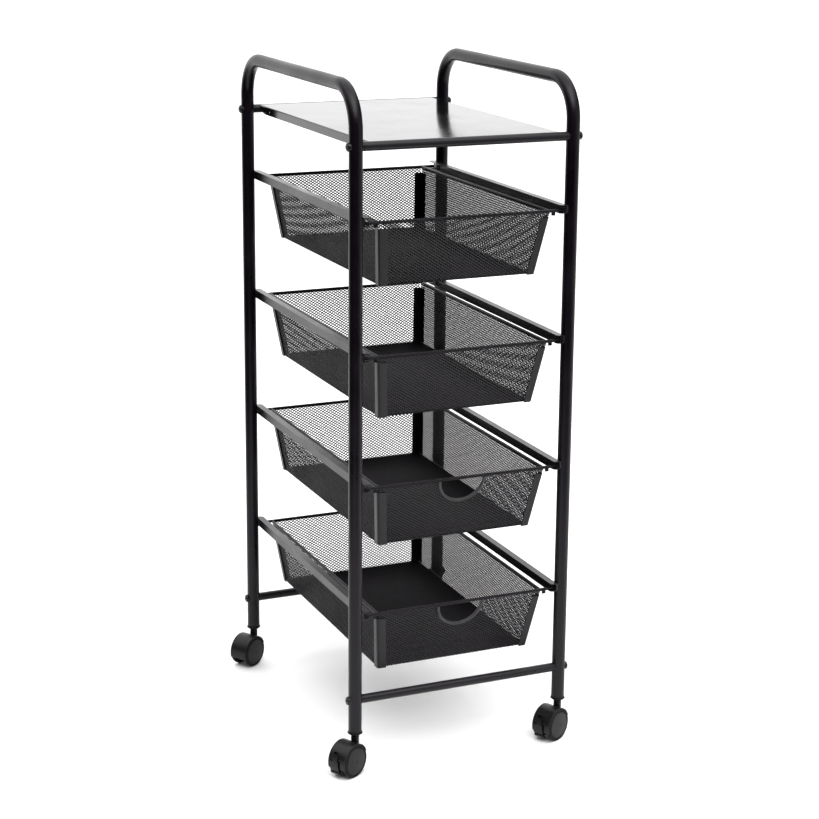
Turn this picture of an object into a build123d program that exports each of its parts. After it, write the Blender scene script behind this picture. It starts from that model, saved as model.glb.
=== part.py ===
from build123d import *
import math
import os

os.makedirs("parts", exist_ok=True)

# Everything is in millimetres. +Z is up, -Y is the front the drawers pull out of, +X is the right.
# The casters trail to one side, so the middle of the footprint, which is the origin,
# lies beside the middle of the frame. These two say where the frame's middle is.
frame_x = 15.4
frame_y = 8.2

# Side frames: one tube each, bent to an upside-down U (front post, handle, rear post).
frame_w = 322.0  # left post centre to right post centre
frame_l = 438.0  # front post centre to rear post centre
handle_top = 976.0
post_bottom = 61.5
tube_d = 19.0
tube_bore = 16.6
bend_r = 56.0  # on the centre line of the tube

# Cross bars: four thin tubes between the posts, two under the shelf and two near the floor.
bar_d = 12.7
bar_bore = 10.7
bar_end = 149.0  # half the length of a bar
shelf_bar_z = 889.5
base_bar_z = 107.5
plug_d = 10.6
plug_l = 16.0

# Bolts through the posts into the plugs in the bar ends.
bolt_d = 6.0
bolt_hole_d = 6.4
bolt_head_d = 12.0
bolt_head_h = 3.8
bolt_dome_r = 2.8
bolt_tip_x = 136.0
bolt_socket_r = 2.3
bolt_socket_depth = 1.8

# Top shelf: folded sheet between the two shelf bars.
sheet = 1.2
shelf_w = 286.0
shelf_top = 895.5
flange_h = 12.0
flange_hole_d = 4.5
flange_hole_ys = (-157.0, 172.0)
flange_hole_z = 888.8
flange_cut = ((191.0, 0.0), (210.0, 3.0))  # y and height above the flange's lower edge

# Rails: eight channels, one pair per drawer, welded to the insides of the posts.
rail_tops = {1: 795.0, 2: 610.0, 3: 425.0, 4: 240.0}
rail_w = 10.2
rail_h = 12.0
rail_l = 452.0
rail_corner_r = 4.5
weld_reach = 2.2
weld_l = 12.0

# Drawers: a wire rim, a tapered basket of sheet, strips over its corners.
rim_drop = 8.25  # rim wire centre below the rail's top
end_wire_d = 4.5
end_wire_half = 148.0
end_wire_y = 220.0
side_wire_d = 4.0
side_wire_x = 127.4
side_wire_drop = 0.2
stop_x = 133.0
stop_size = (5.5, 1.5, 4.2)
basket_t = 1.0
basket_drop = 100.0  # basket floor below the rail's top
basket_top_half = (127.9, 220.5)
basket_floor_half = (117.0, 197.0)
basket_corner_r = 3.5
strip_t = 1.0
strip_leg = 13.0
strip_start = 9.0  # below the rim wire's centre
strip_end = 100.6  # below the rail's top
hand_hole_drawers = (3, 4)
ring_path_r = 34.4
ring_d = 4.8

# Sockets in the tube ends and the casters' stems.
socket_body_d = 16.56
socket_bore_d = 8.1
socket_body_top = 94.0
socket_bore_top = 85.0
socket_lip_d = 21.4
socket_mouth_d = 12.8
socket_mouth_z = 54.8
socket_lip_z = 58.2
stem_d = 8.0
stem_bottom = 31.0
stem_top = 84.0

# Casters: twin wheels on one axle behind the stem. Turned about the stem by these angles.
caster_turn = {
    "front_left": 29.0,
    "front_right": 27.0,
    "rear_left": 33.0,
    "rear_right": 30.0,
}
braked_casters = ("front_left", "front_right")
trail = 16.4
wheel_r = 23.7
wheel_tyre_faces = (10.5, 15.6)  # inner and outer faces of the tyre, from the caster's middle
wheel_inner_face = 5.4
wheel_disc_back = 12.6
wheel_disc_r = 19.9
wheel_disc_edge = 16.2
wheel_disc_crown = 17.0
wheel_web_r = 18.6
tyre_edge_r = 1.2
axle_d = 5.0
axle_half = 14.0
hood_inner_r = 24.1
hood_outer_r = 25.3
hood_half_w = 14.8
hood_angles = (20.0, 197.0)
web_half = 3.0
web_disc_r = 19.0
boss_d = 11.3
boss_bottom = 22.0
boss_top = 53.6
boss_bore_bottom = 30.5

# Brake lever: a T-shaped pedal over the trailing side of the hood, on a pin beside the web.
lever_pivot_r = 20.5
lever_pivot_angle = 150.0
lever_plate = (24.4, 26.2)
lever_arm_sides = (-1.6, 6.6)
lever_arm_angles = (151.0, 173.0)
lever_pedal_sides = (-3.6, 11.6)
lever_pedal_angles = (171.5, 217.0)
lever_foot_r = 27.6
lever_foot_angle = 209.0
lever_ear_sides = (3.4, 6.6)
lever_ear_r = 3.2
lever_pin_d = 3.0
lever_pin_end = 7.2
arm_bay_angles = (141.0, 175.0)
arm_bay_sides = (-2.3, 7.3)
pedal_bay_angles = (168.3, 232.0)
pedal_bay_sides = (-6.6, 12.2)
lever_bay_r = (23.7, 32.0)

fit = 0.02  # gap left between pieces that are fixed to each other
running_fit = 0.05  # radial gap of a pin that turns in its bore

bars = [
    ("shelf_bar_front", -frame_l / 2, shelf_bar_z),
    ("shelf_bar_rear", frame_l / 2, shelf_bar_z),
    ("base_bar_front", -frame_l / 2, base_bar_z),
    ("base_bar_rear", frame_l / 2, base_bar_z),
]
sides = {"left": -1, "right": 1}
corners = [(-1, -1), (1, -1), (-1, 1), (1, 1)]


def save(node, *solids):
    """Move a piece, or a group of like pieces, to the shared origin and write it."""
    placed = [Pos(frame_x, frame_y, 0) * solid for solid in solids]
    shape = placed[0] if len(placed) == 1 else Compound(children=placed)
    export_step(shape, f"parts/{node}.step")


def rod(start, end, radius):
    """Solid round bar from one point to another."""
    along = Vector(*end) - Vector(*start)
    return extrude(Plane(origin=start, z_dir=along) * Circle(radius), along.length)


def block(low, high):
    """Rectangular block between two opposite corners."""
    size = [b - a for a, b in zip(low, high)]
    middle = [(a + b) / 2 for a, b in zip(low, high)]
    return Pos(*middle) * Box(*size)


def post_space(side, y):
    """The room a post takes up, with the small gap that pieces fixed to it keep."""
    x = side * frame_w / 2
    return rod((x, y, 0), (x, y, handle_top), tube_d / 2 + fit)


# ---------------------------------------------------------------- frame


def side_frame(side):
    x = side * frame_w / 2
    y = frame_l / 2
    top = handle_top - tube_d / 2
    path = FilletPolyline(
        (x, -y, post_bottom),
        (x, -y, top),
        (x, y, top),
        (x, y, post_bottom),
        radius=bend_r,
    )
    ring = Circle(tube_d / 2) - Circle(tube_bore / 2)
    frame = sweep(Plane(origin=(x, -y, post_bottom)) * ring, path=path)
    for _, bar_y, bar_z in bars:
        frame -= rod((x - tube_d, bar_y, bar_z), (x + tube_d, bar_y, bar_z), bolt_hole_d / 2)
    return frame


def cross_bar(y, z):
    ends = (-bar_end, y, z), (bar_end, y, z)
    return rod(*ends, bar_d / 2) - rod(*ends, bar_bore / 2)


def end_plug(side, y, z):
    """Plug in a bar's end. Its collar is shaped to sit against the round post."""
    inner = (side * (bar_end - plug_l), y, z)
    mouth = (side * bar_end, y, z)
    post = (side * frame_w / 2, y, z)
    plug = rod(inner, mouth, plug_d / 2) + rod(mouth, post, bar_d / 2)
    plug -= rod(inner, post, bolt_d / 2 + fit)
    return plug - post_space(side, y)


def frame_bolt(side, y, z):
    """Dome-headed bolt. The underside of its head follows the tube."""
    seat_x = frame_w / 2 + tube_d / 2
    tip_x = seat_x + bolt_head_h
    head = rod((frame_w / 2, y, z), (tip_x, y, z), bolt_head_d / 2)
    rim = head.edges().filter_by(GeomType.CIRCLE).sort_by(Axis.X)[-1]
    head = fillet(rim, bolt_dome_r) - post_space(1, y)
    drive = Plane(origin=(tip_x, y, z), z_dir=(-1, 0, 0)) * RegularPolygon(bolt_socket_r, 6)
    head -= extrude(drive, bolt_socket_depth)
    bolt = head + rod((bolt_tip_x, y, z), (seat_x + bolt_head_h / 4, y, z), bolt_d / 2)
    return bolt if side > 0 else mirror(bolt, about=Plane.YZ)


def top_shelf():
    half_w = shelf_w / 2
    end = frame_l / 2
    low = shelf_top - flange_h
    shelf = block((-half_w, -end, low), (half_w, end, shelf_top))
    folds = shelf.edges().filter_by(Axis.Y).group_by(Axis.Z)[-1]
    shelf = fillet(folds, 2 * sheet)
    hollow = block(
        (-half_w + sheet, -end, low - flange_h),
        (half_w - sheet, end, shelf_top - sheet),
    )
    inner_folds = hollow.edges().filter_by(Axis.Y).group_by(Axis.Z)[-1]
    shelf -= fillet(inner_folds, sheet)
    for y in (-end, end):
        shelf -= rod((-half_w, y, shelf_bar_z), (half_w, y, shelf_bar_z), bar_d / 2 + fit)
    (y1, rise1), (y2, rise2) = flange_cut
    for way in (-1, 1):
        outline = Polyline(
            (way * y1, low + rise1),
            (way * y2, low + rise2),
            (way * end, low + rise2),
            (way * end, low - 1),
            (way * y1, low - 1),
            close=True,
        )
        shelf -= extrude(Plane.YZ * make_face(outline), half_w, both=True)
    for y in flange_hole_ys:
        shelf -= rod((-half_w - 1, y, flange_hole_z), (half_w + 1, y, flange_hole_z), flange_hole_d / 2)
    return shelf


def rail(side, top):
    """Channel open towards the drawer, with its weld beads in the cusps beside the posts."""
    outer_x = frame_w / 2 - tube_d / 2 - running_fit
    half_l = rail_l / 2
    low = top - rail_h
    channel = block((outer_x - rail_w, -half_l, low), (outer_x, half_l, top))
    channel -= block(
        (outer_x - rail_w - 1, -half_l, low + sheet),
        (outer_x - sheet, half_l, top - sheet),
    )
    lips = channel.edges().filter_by(Axis.Z).group_by(Axis.X)[0]
    channel = fillet(lips, rail_corner_r)
    for y in (-frame_l / 2, frame_l / 2):
        bead = block(
            (outer_x - sheet / 2, y - weld_l / 2, low + 1),
            (outer_x + weld_reach, y + weld_l / 2, top - 1),
        )
        channel += bead - post_space(1, y)
    return channel if side > 0 else mirror(channel, about=Plane.YZ)


def tube_end_socket(x, y):
    """Plastic liner in a post's open end, with the bore a caster's stem stands in."""
    outline = Polyline(
        (socket_bore_d / 2, socket_mouth_z),
        (socket_mouth_d / 2, socket_mouth_z),
        (socket_lip_d / 2, socket_lip_z),
        (tube_d / 2, post_bottom - fit),
        (socket_body_d / 2, post_bottom - fit),
        (socket_body_d / 2, socket_body_top),
        (0, socket_body_top),
        (0, socket_bore_top),
        (socket_bore_d / 2, socket_bore_top),
        close=True,
    )
    return Pos(x, y, 0) * revolve(Plane.XZ * make_face(outline), Axis.Z)


def build_frame():
    for name, side in sides.items():
        save(f"side_frame_{name}", side_frame(side))
        for number, top in rail_tops.items():
            save(f"rail_{number}_{name}", rail(side, top))
    for name, y, z in bars:
        save(name, cross_bar(y, z))
    ends = [(side, y, z) for _, y, z in bars for side in sides.values()]
    save("bar_end_plugs", *[end_plug(*end) for end in ends])
    save("frame_bolts", *[frame_bolt(*end) for end in ends])
    save("top_shelf", top_shelf())
    posts = [(sx * frame_w / 2, sy * frame_l / 2) for sx, sy in corners]
    save("tube_end_sockets", *[tube_end_socket(x, y) for x, y in posts])


# ---------------------------------------------------------------- drawers


def basket_half(top, z):
    """Half width and half length of the basket's outside at a height."""
    floor_z = top - basket_drop
    mouth_z = top - rim_drop - end_wire_d / 2 - fit
    share = (z - floor_z) / (mouth_z - floor_z)
    return [a + share * (b - a) for a, b in zip(basket_floor_half, basket_top_half)]


def basket_body(top, low, high, grow):
    """Solid with the basket's tapered outside, grown sideways, between two heights."""
    outlines = []
    for z in (low, high):
        half_w, half_l = basket_half(top, z)
        outline = RectangleRounded(
            2 * (half_w + grow),
            2 * (half_l + grow),
            basket_corner_r + grow,
        )
        outlines.append(Pos(0, 0, z) * outline)
    return loft(outlines, ruled=True)


def front_wall(top):
    """Plane in the middle of the sloping front wall, its origin at the top edge."""
    mouth_z = top - rim_drop - end_wire_d / 2 - fit
    half_l = basket_top_half[1]
    lean = half_l - basket_floor_half[1]
    drop = mouth_z - (top - basket_drop)
    outward = Vector(0, -drop, -lean).normalized()
    origin = Vector(0, -half_l, mouth_z) - outward * (basket_t / 2)
    return Plane(origin=origin, x_dir=(1, 0, 0), z_dir=outward)


def drawer_rim(top):
    """Rim of four welded wires. The ends of the front and rear wires run in the rails."""
    z = top - rim_drop
    rim = Part()
    for y in (-end_wire_y, end_wire_y):
        wire = rod((-end_wire_half, y, z), (end_wire_half, y, z), end_wire_d / 2)
        rim += fillet(wire.edges().filter_by(GeomType.CIRCLE), end_wire_d / 6)
    side_z = z - side_wire_drop
    stop_w, stop_t, stop_h = stop_size
    for way in (-1, 1):
        x = way * side_wire_x
        rim += rod((x, -end_wire_y, side_z), (x, end_wire_y, side_z), side_wire_d / 2)
        low = (way * stop_x - stop_w / 2, -end_wire_y - stop_t / 2, z - end_wire_d / 2 - stop_h)
        high = (way * stop_x + stop_w / 2, -end_wire_y + stop_t / 2, z)
        rim += block(low, high)
    return rim


def drawer_basket(top, hand_hole):
    floor_z = top - basket_drop
    mouth_z = top - rim_drop - end_wire_d / 2 - fit
    basket = basket_body(top, floor_z, mouth_z, 0)
    basket -= basket_body(top, floor_z + basket_t, mouth_z + basket_t, -basket_t)
    if hand_hole:
        hole = Circle(ring_path_r + ring_d / 2 + fit)
        basket -= extrude(front_wall(top) * hole, 4 * basket_t, both=True)
    return basket


def corner_strips(top):
    """Four angle strips that cover the folded corners of the basket."""
    low = top - strip_end
    high = top - rim_drop - strip_start
    skin = basket_body(top, low, high, strip_t + fit) - basket_body(top, low - 1, high + 1, fit)
    strips = []
    for sx, sy in corners:
        squares = []
        for z in (low, high):
            half_w, half_l = basket_half(top, z)
            x = sx * (half_w + strip_t + fit)
            y = sy * (half_l + strip_t + fit)
            squares.append(Pos(x, y, z) * Rectangle(2 * strip_leg, 2 * strip_leg))
        strips.append(skin & loft(squares, ruled=True))
    return [strip.solid() for strip in strips]


def hand_hole_ring(top):
    """Round bead around the hand hole, its ends against the underside of the front wire."""
    wall = front_wall(top)
    path = wall * CenterArc((0, 0), ring_path_r, 170, 200)
    section = Plane(origin=path @ 0, z_dir=path % 0) * Circle(ring_d / 2)
    ring = sweep(section, path=path)
    wire_low = top - rim_drop - end_wire_d / 2 - fit
    reach = 2 * ring_path_r
    above = block((-reach, -end_wire_y - reach, wire_low), (reach, -end_wire_y + reach, wire_low + reach))
    return ring - above


def build_drawers():
    for number, top in rail_tops.items():
        hand_hole = number in hand_hole_drawers
        save(f"drawer_{number}_rim", drawer_rim(top))
        save(f"drawer_{number}_mesh", drawer_basket(top, hand_hole))
        save(f"drawer_{number}_corner_strips", *corner_strips(top))
        if hand_hole:
            save(f"drawer_{number}_handle_ring", hand_hole_ring(top))


# ---------------------------------------------------------------- casters
# Each caster is built with its stem on the Z axis and its wheels trailing towards -X.

axle_plane = Plane(origin=(-trail, 0, wheel_r), x_dir=(1, 0, 0), z_dir=(0, -1, 0))


def arc_band(inner_r, outer_r, start, end):
    """Flat band between two radii about the axle, from one angle to another."""
    outer = CenterArc((0, 0), outer_r, start, end - start)
    inner = CenterArc((0, 0), inner_r, start, end - start)
    return make_face([outer, inner, Line(outer @ 0, inner @ 0), Line(outer @ 1, inner @ 1)])


def across(face, start, end):
    """Thicken a face of the axle plane between two distances from the caster's middle."""
    return extrude(axle_plane.offset(start) * face, end - start)


def axle_point(radius, angle):
    """Point of the axle plane at a radius and angle about the axle."""
    turn = math.radians(angle)
    return radius * math.cos(turn), radius * math.sin(turn)


def caster_wheel():
    """Wheel on the near side of the hood: tyre, groove, crowned disc with a pit, and hub."""
    hub_r = 6.0
    groove = 0.9
    bevel = 0.8
    pit_r = 1.6
    pit_depth = 0.5
    tyre_in, tyre_out = wheel_tyre_faces
    bore_r = axle_d / 2 + running_fit
    bore_end = axle_half + 0.5
    back = Polyline(
        (pit_r, wheel_disc_crown),
        (pit_r, wheel_disc_crown - pit_depth),
        (0, wheel_disc_crown - pit_depth),
        (0, bore_end),
        (bore_r, bore_end),
        (bore_r, wheel_inner_face),
        (hub_r, wheel_inner_face),
        (hub_r, wheel_disc_back),
        (wheel_web_r, wheel_disc_back),
        (wheel_web_r, tyre_in),
        (wheel_r, tyre_in),
        (wheel_r, tyre_out),
        (wheel_disc_r + groove, tyre_out),
        (wheel_disc_r + groove, tyre_out - groove),
        (wheel_disc_r, tyre_out - groove),
        (wheel_disc_r, wheel_disc_edge - bevel),
        (wheel_disc_r - bevel, wheel_disc_edge),
    )
    halfway = (wheel_disc_r - bevel + pit_r) / 2
    bulge = (wheel_disc_crown - wheel_disc_edge) * 0.75
    crown = ThreePointArc(back @ 1, (halfway, wheel_disc_edge + bulge), back @ 0)
    section_plane = Plane(origin=axle_plane.origin, x_dir=(1, 0, 0), z_dir=(0, 0, -1))
    wheel = revolve(section_plane * make_face([back, crown]), Axis(axle_plane.origin, (0, 1, 0)))
    tread = [
        edge
        for edge in wheel.edges().filter_by(GeomType.CIRCLE)
        if math.isclose(edge.radius, wheel_r, abs_tol=0.01)
    ]
    return fillet(tread, tyre_edge_r)


def caster_hood(braked):
    """Hood over both wheels, the web that carries the axle and the boss around the stem."""
    start, end = hood_angles
    shell = arc_band(hood_inner_r, hood_outer_r, start, end)
    hood = across(shell, -hood_half_w, hood_half_w)
    web = Circle(web_disc_r) + arc_band(web_disc_r - 1, hood_outer_r - 0.5, start, end)
    hood += across(web, -web_half, web_half)
    hood += rod((0, 0, boss_bottom), (0, 0, boss_top), boss_d / 2)
    hood -= across(Circle(axle_d / 2 + fit), -web_half - 1, web_half + 1)
    hood -= rod((0, 0, boss_bore_bottom), (0, 0, boss_top + 1), stem_d / 2 + running_fit)
    if braked:
        bays = (arm_bay_angles, arm_bay_sides), (pedal_bay_angles, pedal_bay_sides)
        for angles, (near, far) in bays:
            hood -= across(arc_band(*lever_bay_r, *angles), -far, -near)
        pin = Pos(*axle_point(lever_pivot_r, lever_pivot_angle)) * Circle(lever_pin_d / 2)
        hood += across(pin, -lever_pin_end, -web_half + 0.5)
    return hood


def brake_lever():
    """T-shaped pedal with a foot at its lower end and an ear around the pivot pin."""
    near, far = lever_pedal_sides
    lever = across(arc_band(*lever_plate, *lever_pedal_angles), -far, -near)
    foot = arc_band(lever_plate[0], lever_foot_r, lever_foot_angle, lever_pedal_angles[1])
    lever += across(foot, -far, -near)
    near, far = lever_arm_sides
    lever += across(arc_band(*lever_plate, *lever_arm_angles), -far, -near)
    pivot = axle_point(lever_pivot_r, lever_pivot_angle)
    arm_end = axle_point(sum(lever_plate) / 2, lever_arm_angles[0] + 5)
    reach = math.dist(pivot, arm_end)
    middle = [(a + b) / 2 for a, b in zip(pivot, arm_end)]
    slope = math.degrees(math.atan2(arm_end[1] - pivot[1], arm_end[0] - pivot[0]))
    arm = Pos(*middle) * (Rot(0, 0, slope) * Rectangle(reach, 1.6 * lever_ear_r))
    ear = arm + Pos(*pivot) * Circle(lever_ear_r)
    lever += across(ear, -lever_ear_sides[1], -lever_ear_sides[0])
    bore = Pos(*pivot) * Circle(lever_pin_d / 2 + running_fit)
    return lever - across(bore, -far, -near)


def build_casters():
    wheel = caster_wheel()
    axle = across(Circle(axle_d / 2), -axle_half, axle_half)
    stem = rod((0, 0, stem_bottom), (0, 0, stem_top), stem_d / 2)
    stem = chamfer(stem.edges().filter_by(GeomType.CIRCLE), 0.8)
    for name, turn in caster_turn.items():
        end, side = name.split("_")
        y = frame_l / 2 if end == "rear" else -frame_l / 2
        place = Pos(sides[side] * frame_w / 2, y, 0) * Rot(0, 0, turn)
        braked = name in braked_casters
        save(f"caster_{name}_stem", place * stem)
        save(f"caster_{name}_hood", place * caster_hood(braked))
        save(f"caster_{name}_axle", place * axle)
        save(f"caster_{name}_wheel_a", place * wheel)
        save(f"caster_{name}_wheel_b", place * mirror(wheel, about=Plane.XZ))
        if braked:
            save(f"caster_{name}_brake_lever", place * brake_lever())


build_frame()
build_drawers()
build_casters()
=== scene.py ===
import math

import bpy
import numpy as np
from mathutils import Matrix, Vector


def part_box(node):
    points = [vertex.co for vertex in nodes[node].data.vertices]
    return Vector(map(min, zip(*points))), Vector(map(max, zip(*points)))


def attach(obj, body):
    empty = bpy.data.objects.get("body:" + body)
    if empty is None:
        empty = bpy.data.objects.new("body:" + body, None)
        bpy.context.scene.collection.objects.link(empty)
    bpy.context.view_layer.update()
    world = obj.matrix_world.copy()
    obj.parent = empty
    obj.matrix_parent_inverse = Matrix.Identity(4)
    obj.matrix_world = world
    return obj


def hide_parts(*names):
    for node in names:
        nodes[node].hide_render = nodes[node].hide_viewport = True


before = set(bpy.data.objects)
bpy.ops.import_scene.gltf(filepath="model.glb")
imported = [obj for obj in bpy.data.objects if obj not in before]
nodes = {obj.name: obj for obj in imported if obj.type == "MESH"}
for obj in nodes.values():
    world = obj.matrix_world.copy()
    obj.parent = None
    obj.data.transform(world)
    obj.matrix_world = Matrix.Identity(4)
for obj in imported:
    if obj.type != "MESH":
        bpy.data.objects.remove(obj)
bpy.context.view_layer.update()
MM = 0.001


def add_object(name, data):
    """A new object in the scene."""
    obj = bpy.data.objects.new(name, data)
    bpy.context.scene.collection.objects.link(obj)
    return obj


def set_look(obj, material):
    """One material on every slot of an object."""
    if not obj.data.materials:
        obj.data.materials.append(material)
    for slot in obj.material_slots:
        slot.material = material


# ---------------------------------------------------------------- shader nodes


def principled(name, color, roughness, metallic=0.0, ior=1.5):
    """A material with its uniform values on the shader's own sockets."""
    material = bpy.data.materials.new(name)
    material.use_nodes = True
    shader = material.node_tree.nodes["Principled BSDF"]
    shader.inputs["Base Color"].default_value = (*color, 1.0)
    shader.inputs["Roughness"].default_value = roughness
    shader.inputs["Metallic"].default_value = metallic
    shader.inputs["IOR"].default_value = ior
    return material, material.node_tree, shader


def link(tree, out, into):
    tree.links.new(out, into)


def object_coords(tree):
    return tree.nodes.new("ShaderNodeTexCoord").outputs["Object"]


def noise(tree, coords, scale, detail=3.0, roughness=0.55):
    """Cloudy values from 0 to 1, with about scale clouds to the metre."""
    node = tree.nodes.new("ShaderNodeTexNoise")
    node.inputs["Scale"].default_value = scale
    node.inputs["Detail"].default_value = detail
    node.inputs["Roughness"].default_value = roughness
    link(tree, coords, node.inputs["Vector"])
    return node.outputs["Fac"]


def stretched(tree, coords, scale):
    """Coordinates scaled by a different amount along each axis, for marks that run one way."""
    node = tree.nodes.new("ShaderNodeMapping")
    node.inputs["Scale"].default_value = scale
    link(tree, coords, node.inputs["Vector"])
    return node.outputs["Vector"]


def ramp(tree, value, low, high, start=0.0, end=1.0):
    """Maps the range low to high onto start to end, clamped."""
    node = tree.nodes.new("ShaderNodeMapRange")
    node.inputs["From Min"].default_value = low
    node.inputs["From Max"].default_value = high
    node.inputs["To Min"].default_value = start
    node.inputs["To Max"].default_value = end
    link(tree, value, node.inputs["Value"])
    return node.outputs["Result"]


def mix(tree, factor, a, b):
    """Mix of two colours, each a tuple or a socket."""
    node = tree.nodes.new("ShaderNodeMix")
    node.data_type = "RGBA"
    link(tree, factor, node.inputs["Factor"])
    for name, value in (("A", a), ("B", b)):
        socket = next(s for s in node.inputs if s.name == name and s.type == "RGBA")
        if isinstance(value, tuple):
            socket.default_value = (*value, 1.0)
        else:
            link(tree, value, socket)
    return next(s for s in node.outputs if s.type == "RGBA")


def overlay(tree, under, over, mask, strength):
    """Lays one colour over another where the mask is 1, as strongly as strength says."""
    return mix(tree, ramp(tree, mask, 0.0, 1.0, end=strength), under, over)


def shade(color, gain, lift=0.0):
    """A lighter or darker version of a colour."""
    return tuple(c * gain + lift for c in color)


def add(tree, a, b, gain):
    """a + gain * b."""
    node = tree.nodes.new("ShaderNodeMath")
    node.operation = "MULTIPLY_ADD"
    link(tree, b, node.inputs[0])
    node.inputs[1].default_value = gain
    link(tree, a, node.inputs[2])
    return node.outputs["Value"]


def greater(tree, a, b):
    """The greater of two values."""
    node = tree.nodes.new("ShaderNodeMath")
    node.operation = "MAXIMUM"
    link(tree, a, node.inputs[0])
    link(tree, b, node.inputs[1])
    return node.outputs["Value"]


def bump(tree, shader, height, depth):
    """Relief, as deep as depth for each 1 of height."""
    node = tree.nodes.new("ShaderNodeBump")
    node.inputs["Distance"].default_value = depth
    link(tree, height, node.inputs["Height"])
    link(tree, node.outputs["Normal"], shader.inputs["Normal"])


# ---------------------------------------------------------------- materials

BLACK = (0.0044, 0.0026, 0.0050)  # powder coat, a little violet
STRIP_BLACK = (0.0060, 0.0042, 0.0066)
MESH_BLACK = (0.0038, 0.0022, 0.0042)
# the front walls' black, lighter than the rest of the same sheet: painted light
FRONT_BLACK_PAINTED_LIGHTER = (0.0056, 0.0038, 0.0062)
BOLT_BLACK = (0.008, 0.008, 0.009)
WHEEL_BLACK = (0.008, 0.008, 0.009)
SHELF_BLACK = (0.004, 0.004, 0.0045)
SOCKET_BLACK = (0.005, 0.005, 0.005)
HOOD_BLACK = (0.005, 0.005, 0.0055)
LEVER_BLACK = (0.006, 0.006, 0.0065)
# the handle ring's dark plastic, lifted to grey as a painted highlight
RING_GREY_PAINTED_HIGHLIGHT = (0.040, 0.040, 0.042)
STEEL = (0.55, 0.55, 0.56)
RUBBED_COAT = (0.05, 0.05, 0.052)
SPECK = (0.09, 0.09, 0.088)  # specks in the powder coat
DUST = (0.09, 0.088, 0.085)  # dust on the wheels

CLOUD = (0.35, 0.65)  # noise values between which clouds change the colour
GLOSS = (0.3, 0.7)  # and the gloss
EDGE_POINTINESS = (0.57, 0.66)
DISC_R = 19.9 * MM  # the raised disc on a wheel's outer face
DISC_EDGE = (DISC_R - 0.1 * MM, DISC_R + 0.2 * MM)


def worn_edges(tree):
    """1 on sharp outer edges, 0 elsewhere."""
    geometry = tree.nodes.new("ShaderNodeNewGeometry")
    return ramp(tree, geometry.outputs["Pointiness"], *EDGE_POINTINESS)


def powder_coat(name, color, roughness, grain=1.0, ior=1.5):
    """Satin powder coat: orange peel, uneven gloss, fine specks, edges rubbed a little brighter."""
    material, tree, shader = principled(name, color, roughness, ior=ior)
    coords = object_coords(tree)
    peel = noise(tree, coords, 900.0, detail=2.0)
    waves = noise(tree, coords, 210.0, detail=2.0)
    clouds = noise(tree, coords, 14.0, detail=4.0)
    specks = ramp(tree, noise(tree, coords, 1900.0, detail=1.0), 0.66, 0.74)
    tone = mix(tree, ramp(tree, clouds, *CLOUD), color, shade(color, 1.7, 0.002))
    tone = overlay(tree, tone, RUBBED_COAT, worn_edges(tree), 0.35)
    tone = overlay(tree, tone, SPECK, specks, 0.12)
    link(tree, tone, shader.inputs["Base Color"])
    gloss = ramp(tree, clouds, *GLOSS, roughness - 0.05, roughness + 0.06)
    link(tree, add(tree, gloss, specks, 0.12), shader.inputs["Roughness"])
    bump(tree, shader, add(tree, peel, waves, 1.6), 0.06 * MM * grain)
    return material


def gloss_paint(name, color):
    """Stoved gloss paint on sheet: nearly flat, faint waves, very fine scratches."""
    material, tree, shader = principled(name, color, 0.12)
    coords = object_coords(tree)
    clouds = noise(tree, coords, 9.0)
    lengthwise = stretched(tree, coords, (1500.0, 18.0, 400.0))
    scratches = ramp(tree, noise(tree, lengthwise, 1.0, 2.0, 0.6), 0.64, 0.72)
    tone = mix(tree, ramp(tree, clouds, *CLOUD), color, shade(color, 1.5))
    link(tree, tone, shader.inputs["Base Color"])
    gloss = ramp(tree, clouds, *GLOSS, 0.09, 0.16)
    link(tree, add(tree, gloss, scratches, 0.10), shader.inputs["Roughness"])
    bump(tree, shader, noise(tree, coords, 45.0, detail=2.0), 0.05 * MM)
    return material


def moulded_plastic(name, color, roughness):
    """Moulded plastic: fine spark-eroded grain, soft flow clouds, edges rubbed lighter."""
    material, tree, shader = principled(name, color, roughness, ior=1.38)
    coords = object_coords(tree)
    grain = noise(tree, coords, 1400.0, roughness=0.7)
    clouds = noise(tree, coords, 45.0)
    tone = mix(tree, ramp(tree, clouds, 0.35, 0.68), color, shade(color, 1.5, 0.003))
    tone = overlay(tree, tone, shade(color, 2.2, 0.01), worn_edges(tree), 0.4)
    link(tree, tone, shader.inputs["Base Color"])
    gloss = ramp(tree, clouds, *GLOSS, roughness + 0.06, roughness - 0.06)
    link(tree, gloss, shader.inputs["Roughness"])
    bump(tree, shader, grain, 0.05 * MM)
    return material


def axle_line(wheel):
    """Middle and direction of a wheel's axle: the line that its mesh spreads least along."""
    points = np.empty(len(wheel.data.vertices) * 3)
    wheel.data.vertices.foreach_get("co", points)
    points = points.reshape(-1, 3)
    middle = (points.min(0) + points.max(0)) / 2
    _, axes = np.linalg.eigh(np.cov((points - middle).T))
    return middle, axes[:, 0]


def axle_distance(tree, coords, middle, axle):
    """Distance of each point from the axle, in metres."""
    value = coords
    for operation, operand in (("SUBTRACT", middle), ("CROSS_PRODUCT", axle)):
        node = tree.nodes.new("ShaderNodeVectorMath")
        node.operation = operation
        node.inputs[1].default_value = tuple(float(c) for c in operand)
        link(tree, value, node.inputs[0])
        value = node.outputs["Vector"]
    length = tree.nodes.new("ShaderNodeVectorMath")
    length.operation = "LENGTH"
    link(tree, value, length.inputs[0])
    return length.outputs["Value"]


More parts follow.
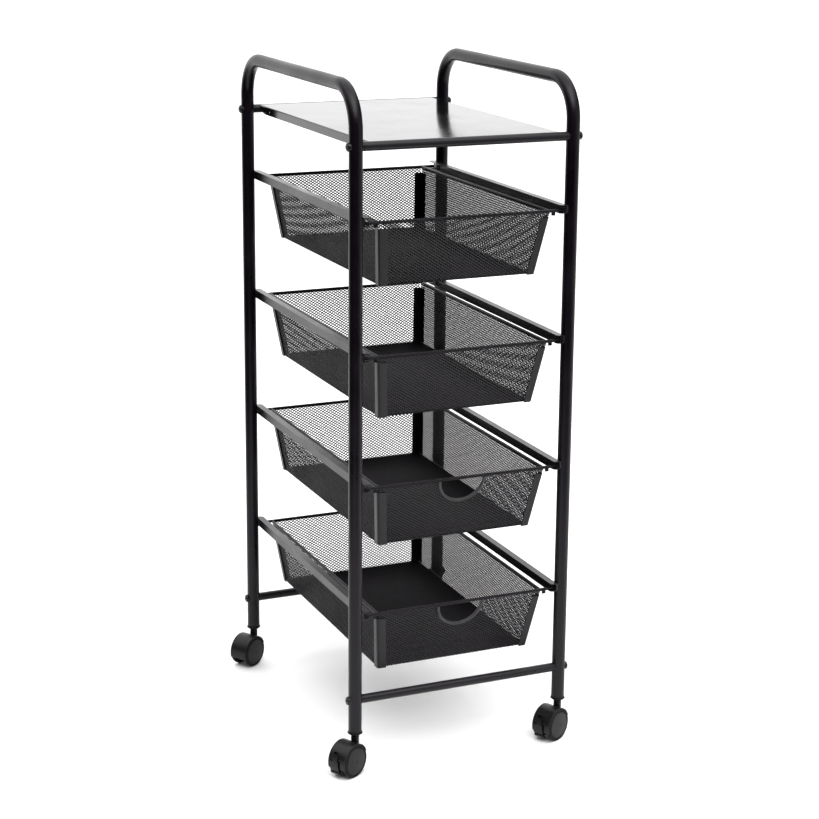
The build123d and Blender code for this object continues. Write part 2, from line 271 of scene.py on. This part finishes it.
def rolling_plastic(wheel, color):
    """Wheel plastic: satin on the raised face; from the disc's edge outwards darker and duller, the
    darker colour being painted shade in the groove round the disc.
    """
    material, tree, shader = principled(f"{wheel.name}_plastic", color, 0.42, ior=1.36)
    coords = object_coords(tree)
    # painted shade: from the disc's edge outwards the colour turns darker, for the groove round the
    # disc and the ring beyond it
    past_disc_edge = ramp(tree, axle_distance(tree, coords, *axle_line(wheel)), *DISC_EDGE)
    scuffs = ramp(tree, noise(tree, coords, 700.0, 4.0, 0.7), 0.45, 0.7)
    clouds = noise(tree, coords, 60.0)
    face = mix(tree, ramp(tree, clouds, *CLOUD), color, shade(color, 1.6))
    face = overlay(tree, face, DUST, scuffs, 0.22)
    # darker colour beyond the disc: painted shade in the groove, with a little dust
    groove_shade_and_dark_ring = overlay(tree, BLACK, DUST, scuffs, 0.10)
    link(tree, mix(tree, past_disc_edge, face, groove_shade_and_dark_ring), shader.inputs["Base Color"])
    link(tree, ramp(tree, past_disc_edge, 0.0, 1.0, 0.40, 0.62), shader.inputs["Roughness"])
    bump(tree, shader, noise(tree, coords, 1100.0, roughness=0.7), 0.06 * MM)
    return material


def turned_steel(name, color, roughness):
    """Plated steel pin: turning marks round the pin and a few dull spots."""
    material, tree, shader = principled(name, color, roughness, metallic=1.0)
    coords = object_coords(tree)
    rings = noise(tree, stretched(tree, coords, (60.0, 60.0, 6000.0)), 1.0, detail=2.0)
    spots = noise(tree, coords, 240.0)
    tone = mix(tree, ramp(tree, spots, 0.5, 0.7), color, shade(color, 0.7))
    link(tree, tone, shader.inputs["Base Color"])
    gloss = ramp(tree, spots, 0.35, 0.7, roughness - 0.05, roughness + 0.12)
    link(tree, gloss, shader.inputs["Roughness"])
    bump(tree, shader, rings, 0.02 * MM)
    return material


tube_coat = powder_coat("tube_coat", BLACK, 0.30, ior=1.36)
rail_coat = powder_coat("rail_coat", STRIP_BLACK, 0.30)
wire_coat = powder_coat("wire_coat", BLACK, 0.32, grain=0.6, ior=1.36)
strip_coat = powder_coat("strip_coat", STRIP_BLACK, 0.36, ior=1.38)
mesh_coat = powder_coat("mesh_coat", MESH_BLACK, 0.38, grain=0.5, ior=1.25)
# a lighter copy of the mesh coat for the front walls: painted light
front_coat_painted_lighter = powder_coat("front_coat_painted_lighter", FRONT_BLACK_PAINTED_LIGHTER, 0.32, grain=0.5, ior=1.48)
bolt_black = powder_coat("bolt_black", BOLT_BLACK, 0.26, grain=0.5, ior=1.42)
shelf_gloss = gloss_paint("shelf_gloss", SHELF_BLACK)
socket_plastic = moulded_plastic("socket_plastic", SOCKET_BLACK, 0.42)
# the ring's lighter colour is a painted highlight
ring_plastic = moulded_plastic("ring_plastic", RING_GREY_PAINTED_HIGHLIGHT, 0.36)
hood_plastic = moulded_plastic("hood_plastic", HOOD_BLACK, 0.36)
lever_plastic = moulded_plastic("lever_plastic", LEVER_BLACK, 0.38)
pin_steel = turned_steel("pin_steel", STEEL, 0.25)

CAD_LOOKS = (
    ("side_frame", tube_coat),
    ("shelf_bar", tube_coat),
    ("base_bar", tube_coat),
    ("bar_end_plugs", socket_plastic),
    ("frame_bolts", bolt_black),
    ("top_shelf", shelf_gloss),
    ("tube_end_sockets", socket_plastic),
    ("rail_", rail_coat),
    ("_rim", wire_coat),
    ("_corner_strips", strip_coat),
    ("_handle_ring", ring_plastic),
    ("_stem", pin_steel),
    ("_hood", hood_plastic),
    ("_axle", pin_steel),
    ("_brake_lever", lever_plastic),
)

for name, node in nodes.items():
    if "_wheel_" in name:
        set_look(node, rolling_plastic(node, WHEEL_BLACK))
        continue
    for part, material in CAD_LOOKS:
        if part in name:
            set_look(node, material)
            break

# ---------------------------------------------------------------- expanded mesh

CELL_W = 6.4 * MM  # long way of a diamond
CELL_H = 4.2 * MM  # short way; rows lie half of it apart, shifted by half a cell
STRAND_W = 1.25 * MM
SHEET_T = 0.40 * MM
STRAND_LEAN = 0.38 * MM  # how far strands lean out of the sheet, as slitting leaves them
SIDE_LEAN = 0.12 * MM  # the same on the side walls, which are flatter
EDGE_W = 0.40 * MM  # strand left along a cut edge
SAME_POINT = 0.02 * MM  # corners closer than this are one vertex
TOUCH = 0.01 * MM  # a cell this far past an edge still counts as on it


def both_ways(count):
    """A range of half pitches that runs equally far to each side of the middle."""
    return -count, count + 1


def cell_centres(columns, rows, cell):
    """Centres of the diamonds on a grid of half pitches, of which every other point has one."""
    half_w, half_h = cell[0] / 2, cell[1] / 2
    i, j = np.meshgrid(np.arange(*columns), np.arange(*rows))
    even = (i + j) % 2 == 0
    return np.stack([i[even] * half_w, j[even] * half_h], -1)


def diamond_sheet(centres, cell, clamp, lean):
    """Flat expanded mesh as arrays: points (x, y), how far each lifts, and quads.

    clamp(points, margin) moves points back onto the outline, or inside it by the margin. lean is
    how far the far edge of each hole lifts and the near edge drops.
    """
    half_w, half_h = cell[0] / 2, cell[1] / 2
    tips = np.array([[-half_w, 0], [0, half_h], [half_w, 0], [0, -half_h]])
    side_away = half_w * half_h / math.hypot(half_w, half_h)  # a side's distance from the centre
    shrink = (side_away - STRAND_W / 2) / side_away
    outer = clamp((centres[:, None] + tips).reshape(-1, 2), 0.0)
    inner = clamp((centres[:, None] + tips * shrink).reshape(-1, 2), EDGE_W)
    keys = np.round(outer / SAME_POINT).astype(np.int64)
    _, first, index = np.unique(keys, axis=0, return_index=True, return_inverse=True)
    outer = outer[first]
    index = index.reshape(-1, 4)
    inner_index = len(outer) + np.arange(len(inner)).reshape(-1, 4)
    flat = np.concatenate([outer, inner])
    lift = np.concatenate([np.zeros(len(outer)), np.tile([0.0, lean, 0.0, -lean], len(centres))])
    count = len(flat)
    quads = []
    sides = []
    for a, b in ((0, 1), (1, 2), (2, 3), (3, 0)):
        ring = np.stack([index[:, a], inner_index[:, a], inner_index[:, b], index[:, b]], -1)
        hole = np.stack([inner_index[:, a], inner_index[:, b]], -1)
        quads.append(ring)
        quads.append(np.concatenate([hole, hole[:, ::-1] + count], -1)[:, ::-1])
        quads.append(ring[:, ::-1] + count)
        sides.append(np.stack([index[:, a], index[:, b]], -1))
    # sides that only one diamond has are the sheet's own edge, which gets a wall
    sides = np.concatenate(sides)
    pair = sides.min(1) * count + sides.max(1)
    _, where, times = np.unique(pair, return_index=True, return_counts=True)
    rim = sides[where[times == 1]]
    quads.append(np.concatenate([rim, rim[:, ::-1] + count], -1))
    quads = np.concatenate(quads)
    # clamping can bring two corners together, which leaves quads with no area
    whole = (quads[:, 0] != quads[:, 3]) & (quads[:, 1] != quads[:, 2])
    return flat, lift, quads[whole]


def sheet_object(name, points, normals, lift, quads, material):
    """Thickens a sheet to both sides of its points, along their normals."""
    top = points + normals * (lift + SHEET_T / 2)[:, None]
    back = points + normals * (lift - SHEET_T / 2)[:, None]
    vertices = np.concatenate([top, back])
    mesh = bpy.data.meshes.new(name)
    mesh.vertices.add(len(vertices))
    mesh.vertices.foreach_set("co", vertices.astype(np.float32).ravel())
    mesh.loops.add(quads.size)
    mesh.loops.foreach_set("vertex_index", quads.astype(np.int32).ravel())
    mesh.polygons.add(len(quads))
    mesh.polygons.foreach_set("loop_start", np.arange(0, quads.size, 4, dtype=np.int32))
    mesh.update(calc_edges=True)
    mesh.validate()
    mesh.polygons.foreach_set("use_smooth", np.ones(len(mesh.polygons), dtype=bool))
    obj = add_object(name, mesh)
    set_look(obj, material)
    return obj


# ---------------------------------------------------------------- baskets

CAD_SHEET = 1.0 * MM
TAPER_SIDE = 10.9 * MM  # how far each side wall comes in from rim to floor
TAPER_END = 23.5 * MM  # the same for the front and back walls
FOLD_R = 2.0 * MM
SEAM = 0.1 * MM  # left between panels that meet at a corner
HEM_W = 1.5 * MM  # solid edge along the top of the side walls
HAND_HOLE_R = 34.4 * MM
HAND_HOLE_DRAWERS = (3, 4)


class Basket:
    """A drawer's mesh, on the middle of its CAD sheet.

    Front, floor and back are one long sheet, folded twice, where a flat point is (x, s) and s
    runs from the middle of the floor. On a side wall it is (climb, y), and climb starts at the
    floor.
    """

    def __init__(self, number):
        self.number = number
        low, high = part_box(f"drawer_{number}_mesh")
        self.middle = (low + high) / 2
        self.floor_z = low.z + CAD_SHEET / 2
        self.depth = high.z - self.floor_z
        self.top_x = (high.x - low.x) / 2 - CAD_SHEET / 2
        self.top_y = (high.y - low.y) / 2 - CAD_SHEET / 2
        self.floor_x = self.top_x - TAPER_SIDE
        self.floor_y = self.top_y - TAPER_END
        self.end_l = math.hypot(self.depth, TAPER_END)
        self.side_l = math.hypot(self.depth, TAPER_SIDE)
        self.turn = math.pi / 2 - math.atan2(TAPER_END, self.depth)
        fold_cut = FOLD_R * (math.tan(self.turn / 2) * 2)
        fold_arc = FOLD_R * self.turn
        self.reach = self.floor_y + self.end_l - fold_cut + fold_arc
        self.half_rows = round(self.reach / (CELL_H / 2))
        self.cell = (CELL_W, 2 * self.reach / self.half_rows)

    def long_half(self, s):
        """Half the width of the long sheet."""
        climb = np.clip((np.abs(s) - self.floor_y) / self.end_l, 0, 1)
        return self.floor_x + TAPER_SIDE * climb - SEAM

    def side_half(self, climb):
        """Half the length of a side wall."""
        return self.floor_y + TAPER_END * np.clip(climb / self.side_l, 0, 1) - SEAM

    def inside_long(self, centres):
        """Which cells lie on the long sheet and not in the hand hole."""
        x, s = centres.T
        inside = (np.abs(x) <= self.long_half(s)) & (np.abs(s) <= self.reach + TOUCH)
        if self.number in HAND_HOLE_DRAWERS:
            inside &= np.hypot(x, s + self.reach) > HAND_HOLE_R
        return inside

    def inside_side(self, centres):
        """Which cells lie on a side wall."""
        climb, y = centres.T
        return (np.abs(y) <= self.side_half(climb)) & (climb <= self.side_l + TOUCH)

    def clamp_long(self, points, margin):
        """Brings points inside the long sheet's outline and out of the hand hole."""
        out = points.copy()
        out[:, 1] = np.clip(out[:, 1], -self.reach + margin, self.reach - margin)
        limit = self.long_half(out[:, 1]) - margin
        out[:, 0] = np.clip(out[:, 0], -limit, limit)
        if self.number in HAND_HOLE_DRAWERS:
            hole = np.array([0.0, -self.reach])
            radius = HAND_HOLE_R + margin
            away = out - hole
            far = np.hypot(*away.T)
            near = (far < radius) & (far > 0)
            grow = np.where(near, radius / np.maximum(far, MM), 1.0)
            out = hole + away * grow[:, None]
            out[:, 1] = np.maximum(out[:, 1], -self.reach + margin)
        return out

    def clamp_side(self, points, margin):
        """Brings points inside a side wall's outline, and holes below its hem."""
        out = points.copy()
        hem = HEM_W if margin else 0.0
        out[:, 0] = np.clip(out[:, 0], margin, self.side_l - hem)
        limit = self.side_half(out[:, 0]) - margin
        out[:, 1] = np.clip(out[:, 1], -limit, limit)
        return out

    def place_long(self, flat):
        """Points and outward normals of the long sheet: floor, fold, and wall leaning out."""
        x, s = flat.T
        side = np.sign(s)
        run = np.abs(s)
        start = self.floor_y - FOLD_R * math.tan(self.turn / 2)
        angle = np.clip((run - start) / FOLD_R, 0, self.turn)
        beyond = np.maximum(run - start - FOLD_R * self.turn, 0.0)
        along = np.minimum(run, start) + FOLD_R * np.sin(angle) + beyond * math.cos(self.turn)
        height = FOLD_R * (1 - np.cos(angle)) + beyond * math.sin(self.turn)
        y = side * along + self.middle.y
        points = np.stack([x + self.middle.x, y, height + self.floor_z], -1)
        return points, np.stack([np.zeros(len(s)), side * np.sin(angle), -np.cos(angle)], -1)

    def place_side(self, flat, way):
        """Points and outward normals of the left (-1) or right (1) wall."""
        share = flat[:, 0] / self.side_l
        x = way * (self.floor_x + TAPER_SIDE * share) + self.middle.x
        z = share * self.depth + self.floor_z
        points = np.stack([x, flat[:, 1] + self.middle.y, z], -1)
        normal = np.array([way * self.depth, 0.0, -TAPER_SIDE]) / self.side_l
        return points, np.tile(normal, (len(flat), 1))

    def long_panels(self):
        """Front, floor and back. The front has a glossier coat, in a lighter black that is painted
        light.
        """
        columns = math.ceil(self.top_x / (CELL_W / 2))
        centres = cell_centres(both_ways(columns), both_ways(self.half_rows), self.cell)
        centres = centres[self.inside_long(centres)]
        s = centres[:, 1]
        fold = self.floor_y - FOLD_R / 2
        stretches = (
            ("front", s < -fold, front_coat_painted_lighter),
            ("floor", np.abs(s) <= fold, mesh_coat),
            ("back", s > fold, mesh_coat),
        )
        panels = []
        for label, here, coat in stretches:
            cells = centres[here]
            flat, lift, quads = diamond_sheet(cells, self.cell, self.clamp_long, STRAND_LEAN)
            name = f"drawer_{self.number}_mesh_{label}"
            panels.append(sheet_object(name, *self.place_long(flat), lift, quads[:, ::-1], coat))
        return panels

    def side_panels(self):
        """The two side walls, one the mirror image of the other."""
        columns = round(self.side_l / (CELL_W / 2))
        cell = (2 * self.side_l / columns, self.cell[1])
        rows = math.ceil(self.top_y / (cell[1] / 2))
        centres = cell_centres((0, columns + 1), both_ways(rows), cell)
        centres = centres[self.inside_side(centres)]
        flat, lift, quads = diamond_sheet(centres, cell, self.clamp_side, SIDE_LEAN)
        panels = []
        for label, way, faces in (("left", -1, quads), ("right", 1, quads[:, ::-1])):
            name = f"drawer_{self.number}_mesh_{label}"
            placed = self.place_side(flat, way)
            panels.append(sheet_object(name, *placed, lift, faces, mesh_coat))
        return panels


for number in (1, 2, 3, 4):
    basket = Basket(number)
    for panel in basket.long_panels() + basket.side_panels():
        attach(panel, f"drawer_{number}")
        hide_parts(f"drawer_{number}_mesh")

# ---------------------------------------------------------------- floor, lights, camera


def floor_plane():
    """Pale floor with faint clouds."""
    left, front = -1.1, -1.3  # it stops short here
    far = 60.0  # and runs on to the horizon behind and to the right
    mesh = bpy.data.meshes.new("studio_floor")
    corners = [(left, front, 0), (far, front, 0), (far, far, 0), (left, far, 0)]
    mesh.from_pydata(corners, [], [(0, 1, 2, 3)])
    obj = add_object("studio_floor", mesh)
    material, tree, shader = principled("floor_paper", (0.93, 0.93, 0.93), 0.8)
    clouds = noise(tree, object_coords(tree), 2.0)
    tone = mix(tree, clouds, (0.92, 0.92, 0.92), (0.94, 0.94, 0.94))
    link(tree, tone, shader.inputs["Base Color"])
    set_look(obj, material)


def area_light(name, place, target, size, power):
    """A rectangular soft box at a place, facing a target."""
    data = bpy.data.lights.new(name, "AREA")
    data.shape = "RECTANGLE"
    data.size, data.size_y = size
    data.energy = power
    lamp = add_object(name, data)
    lamp.location = place
    lamp.rotation_euler = (Vector(target) - Vector(place)).to_track_quat("-Z", "Y").to_euler()


def world_light():
    """A white room behind and above the trolley and a dim one in front, for reflections.

    The camera itself sees plain white.
    """
    world = bpy.data.worlds.new("studio")
    bpy.context.scene.world = world
    world.use_nodes = True
    tree = world.node_tree
    background = tree.nodes["Background"]
    direction = tree.nodes.new("ShaderNodeSeparateXYZ")
    coords = tree.nodes.new("ShaderNodeTexCoord").outputs["Generated"]
    link(tree, coords, direction.inputs["Vector"])
    behind = ramp(tree, direction.outputs["Y"], 0.50, 0.85, start=0.02, end=1.45)
    above = ramp(tree, direction.outputs["Z"], 0.40, 0.70, end=1.75)
    path = tree.nodes.new("ShaderNodeLightPath")
    seen = tree.nodes.new("ShaderNodeMix")
    link(tree, path.outputs["Is Camera Ray"], seen.inputs["Factor"])
    link(tree, greater(tree, behind, above), seen.inputs["A"])
    seen.inputs["B"].default_value = 1.2
    link(tree, seen.outputs["Result"], background.inputs["Strength"])
    background.inputs["Color"].default_value = (1.0, 1.0, 1.0, 1.0)


def camera():
    """A long lens at the front left, looking down a little."""
    data = bpy.data.cameras.new("camera")
    data.sensor_width = 36.0
    data.lens = 88.40
    data.shift_x = -0.0172
    data.shift_y = -0.05
    data.clip_end = 50.0
    obj = add_object("camera", data)
    place = Vector((-1.1257, -2.6553, 1.2566))
    target = Vector((0.03056, -0.03976, 0.53228))
    roll = math.radians(0.56)
    look = (target - place).to_track_quat("-Z", "Y").to_matrix().to_4x4()
    obj.matrix_world = Matrix.Translation(place) @ look @ Matrix.Rotation(roll, 4, "Z")
    bpy.context.scene.camera = obj


floor_plane()
world_light()
area_light("right_box", (2.1, -2.0, 1.1), target=(0, 0, 0.5), size=(3.0, 2.2), power=14.0)
area_light("top_box", (-0.3, -1.7, 2.8), target=(0, -0.5, 0), size=(2.4, 2.4), power=45.0)
camera()
bpy.context.scene.view_settings.view_transform = "Standard"
bpy.context.scene.view_settings.look = "Medium High Contrast"
